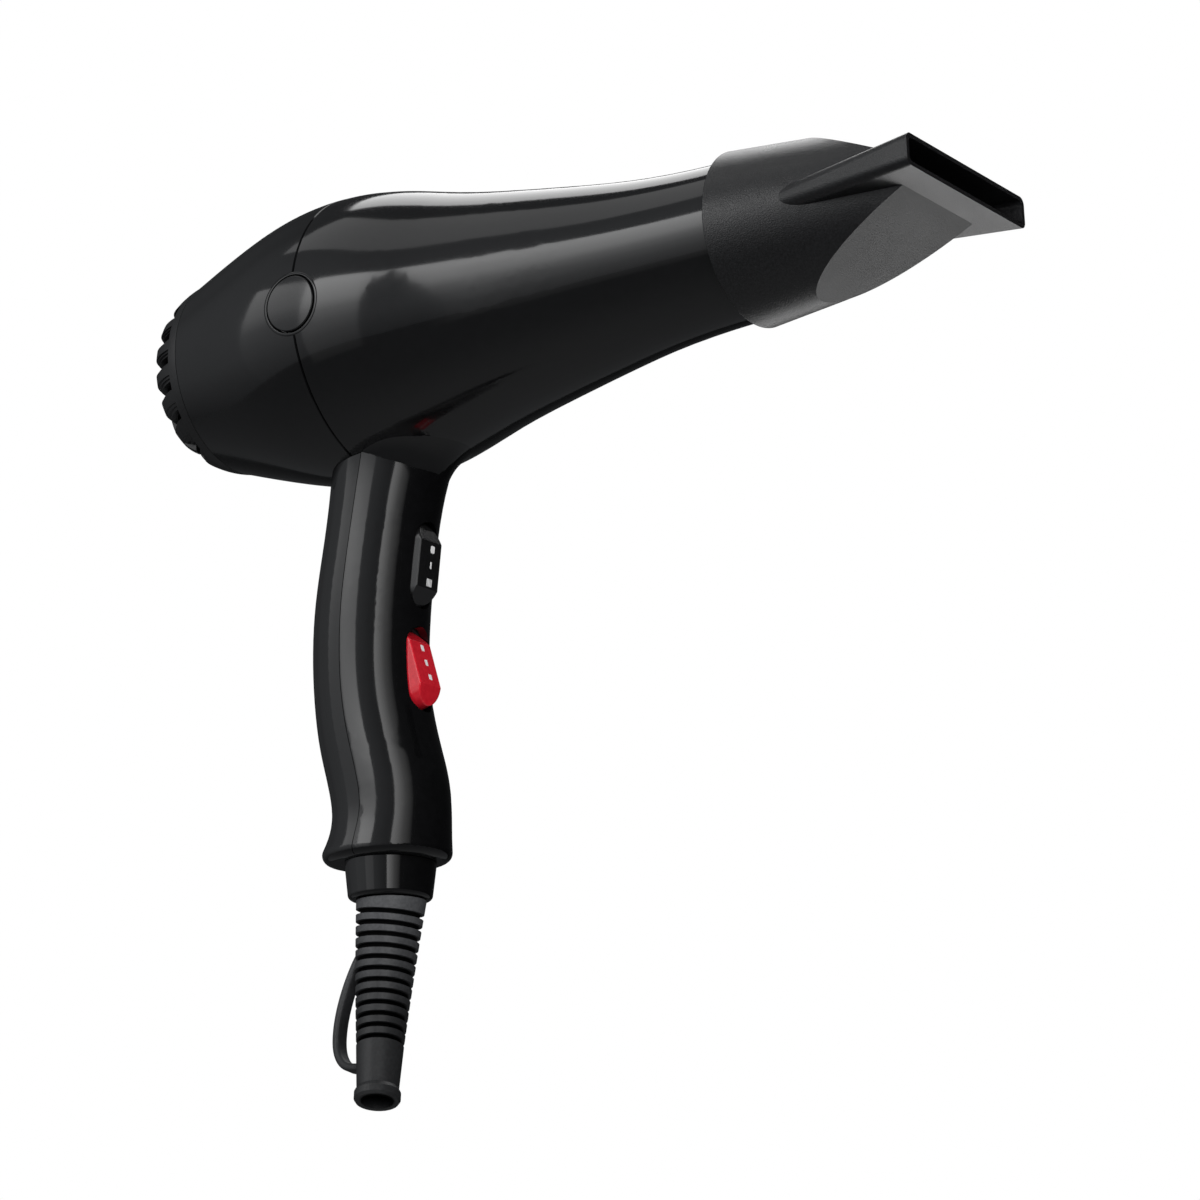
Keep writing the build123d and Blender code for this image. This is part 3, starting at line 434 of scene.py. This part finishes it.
# the room: brightest behind the key lights, falling off away from them and towards the ground
wco = wt.nodes.new("ShaderNodeTexCoord")
dot = wt.nodes.new("ShaderNodeVectorMath")
dot.operation = "DOT_PRODUCT"
dot.inputs[1].default_value = (-0.4924, -0.8529, 0.1736)
wt.links.new(wco.outputs["Generated"], dot.inputs[0])
r1 = wt.nodes.new("ShaderNodeValToRGB")
unit = wt.nodes.new("ShaderNodeMapRange")
unit.inputs["From Min"].default_value = -1.0
unit.inputs["From Max"].default_value = 1.0
wt.links.new(dot.outputs["Value"], unit.inputs["Value"])
wt.links.new(unit.outputs["Result"], r1.inputs[0])
for k_, (p_, v_) in enumerate(((0.0, 0.01), (0.5, 0.045), (0.70, 0.12), (0.86, 0.29), (1.0, 0.50))):
    e_ = r1.color_ramp.elements[k_] if k_ < 2 else r1.color_ramp.elements.new(p_)
    e_.position = p_
    e_.color = (v_, v_, v_, 1)
wsep = wt.nodes.new("ShaderNodeSeparateXYZ")
wt.links.new(wco.outputs["Generated"], wsep.inputs[0])
el_r = wt.nodes.new("ShaderNodeMapRange")
el_r.inputs["From Min"].default_value = -0.85
el_r.inputs["From Max"].default_value = 0.0
el_r.inputs["To Min"].default_value = 0.08
el_r.inputs["To Max"].default_value = 1.0
wt.links.new(wsep.outputs["Z"], el_r.inputs["Value"])
wmul = wt.nodes.new("ShaderNodeMath")
wmul.operation = "MULTIPLY"
wt.links.new(r1.outputs[0], wmul.inputs[0])
wt.links.new(el_r.outputs["Result"], wmul.inputs[1])
wt.links.new(wmul.outputs[0], dim.inputs["Strength"])
pale.inputs["Color"].default_value = (1, 1, 1, 1)
pale.inputs["Strength"].default_value = 1.0
wt.links.new(lp.outputs["Is Camera Ray"], mix.inputs[0])
wt.links.new(dim.outputs[0], mix.inputs[1])
wt.links.new(pale.outputs[0], mix.inputs[2])
wt.links.new(mix.outputs[0], wo.inputs["Surface"])

floor_m, nt, b, co = new_mat("floor_pale")
nt.links.new(mixed(nt, noise_tex(nt, co, 3.0, 3.0), (0.80, 0.80, 0.80), (0.84, 0.84, 0.84)), b.inputs["Base Color"])
nt.links.new(ranged(nt, noise_tex(nt, co, 30.0, 3.0), 0.75, 0.9), b.inputs["Roughness"])
me = bpy.data.meshes.new("floor")
bm = bmesh.new()
bmesh.ops.create_circle(bm, cap_ends=True, segments=96, radius=9.0)
bm.to_mesh(me)
bm.free()
me.materials.append(floor_m)
floor = bpy.data.objects.new("floor", me)
floor.location = (0, 0, -3.0)
scene.collection.objects.link(floor)

AIM = Vector((0.055, 0.0, -0.05))


def softbox(name, az, el, dist, w, h, radiance, size_fade=None, color=(1, 1, 1), aim=AIM, spin=0.0, glossy=True, diffuse=True):
    """A rectangular soft light in the direction az, el from the object."""
    a, e = math.radians(az), math.radians(el)
    d = Vector((math.cos(e) * math.cos(a), math.cos(e) * math.sin(a), math.sin(e)))
    L = bpy.data.lights.new(name, "AREA")
    L.shape = "RECTANGLE"
    L.size, L.size_y = w, h
    L.color = color
    L.energy = radiance * w * h * math.pi
    L.use_nodes = True
    t = L.node_tree
    em = next(n for n in t.nodes if n.type == "EMISSION")
    if size_fade:
        # brightness across the box: a curve along its height
        geo = t.nodes.new("ShaderNodeNewGeometry")
        sep = t.nodes.new("ShaderNodeSeparateXYZ")
        ramp = t.nodes.new("ShaderNodeValToRGB")
        t.links.new(geo.outputs["Parametric"], sep.inputs[0])
        t.links.new(sep.outputs[size_fade[0]], ramp.inputs[0])
        els = ramp.color_ramp.elements
        pts = size_fade[1]
        while len(els) < len(pts):
            els.new(0.5)
        for el_, (p, v) in zip(els, pts):
            el_.position = p
            el_.color = (v, v, v, 1)
        t.links.new(ramp.outputs[0], em.inputs["Strength"])
    o = bpy.data.objects.new(name, L)
    o.location = aim + d * dist
    z = d
    up = Vector((0, 0, 1))
    x = up.cross(z).normalized()
    y = z.cross(x)
    o.matrix_world = Matrix.Translation(o.location) @ Matrix((x, y, z)).transposed().to_4x4() @ Matrix.Rotation(spin, 4, "Z")
    o.visible_camera = False
    o.visible_glossy = glossy
    o.visible_diffuse = diffuse
    scene.collection.objects.link(o)
    return o


softbox("key_a", -111, 5, 1.35, 0.54, 1.42, 3.8, (1, [(0.0, 0.02), (0.32, 0.07), (0.47, 0.15), (0.60, 0.32), (0.72, 0.62), (1.0, 1.0)]))
softbox("key_rear", -138, 5, 1.35, 0.68, 1.42, 1.25, (1, [(0.0, 0.0), (0.32, 0.02), (0.47, 0.05), (0.60, 0.16), (0.74, 0.60), (1.0, 1.0)]))
softbox("key_b", -48, 10, 1.35, 0.86, 1.10, 2.5, (0, [(0.0, 1.0), (0.22, 0.75), (0.55, 0.32), (1.0, 0.06)]))
softbox("top", -132, 63, 1.35, 1.00, 0.50, 0.60)
softbox("low_nose", 94, -34, 1.3, 0.70, 0.60, 1.35, aim=Vector((0.17, 0.0, 0.0)))
softbox("back", 92, 58, 1.5, 1.60, 1.00, 2.0)
softbox("low_nose_b", 121, -19, 1.3, 0.70, 0.42, 1.7, aim=Vector((0.17, 0.0, 0.0)))
# both low lights are flagged onto the nozzle only
flag = bpy.data.collections.new("nozzle_only")
flag.objects.link(nodes["concentrator"])
for nm in ("low_nose", "low_nose_b"):
    bpy.data.objects[nm].light_linking.receiver_collection = flag
softbox("fill", -42, 4, 1.3, 1.0, 1.0, 4.6, glossy=False)

# ---------------------------------------------------------------------------
# camera
# ---------------------------------------------------------------------------
cam_d = bpy.data.cameras.new("camera")
cam_d.sensor_width = 36.0
cam_d.lens = 130.364
cam_d.clip_start = 0.01
cam_d.clip_end = 100.0
cam = bpy.data.objects.new("camera", cam_d)
right = Vector((0.826706, 0.561321, -0.038409))
upv = Vector((0.185004, -0.206730, 0.960748))
view = Vector((-0.531348, 0.801362, 0.274752))
cam.matrix_world = Matrix.Translation(Vector((0.723199, -0.989784, -0.434803))) @ Matrix((right, upv, -view)).transposed().to_4x4()
scene.collection.objects.link(cam)
scene.camera = cam
scene.view_settings.view_transform = "Standard"
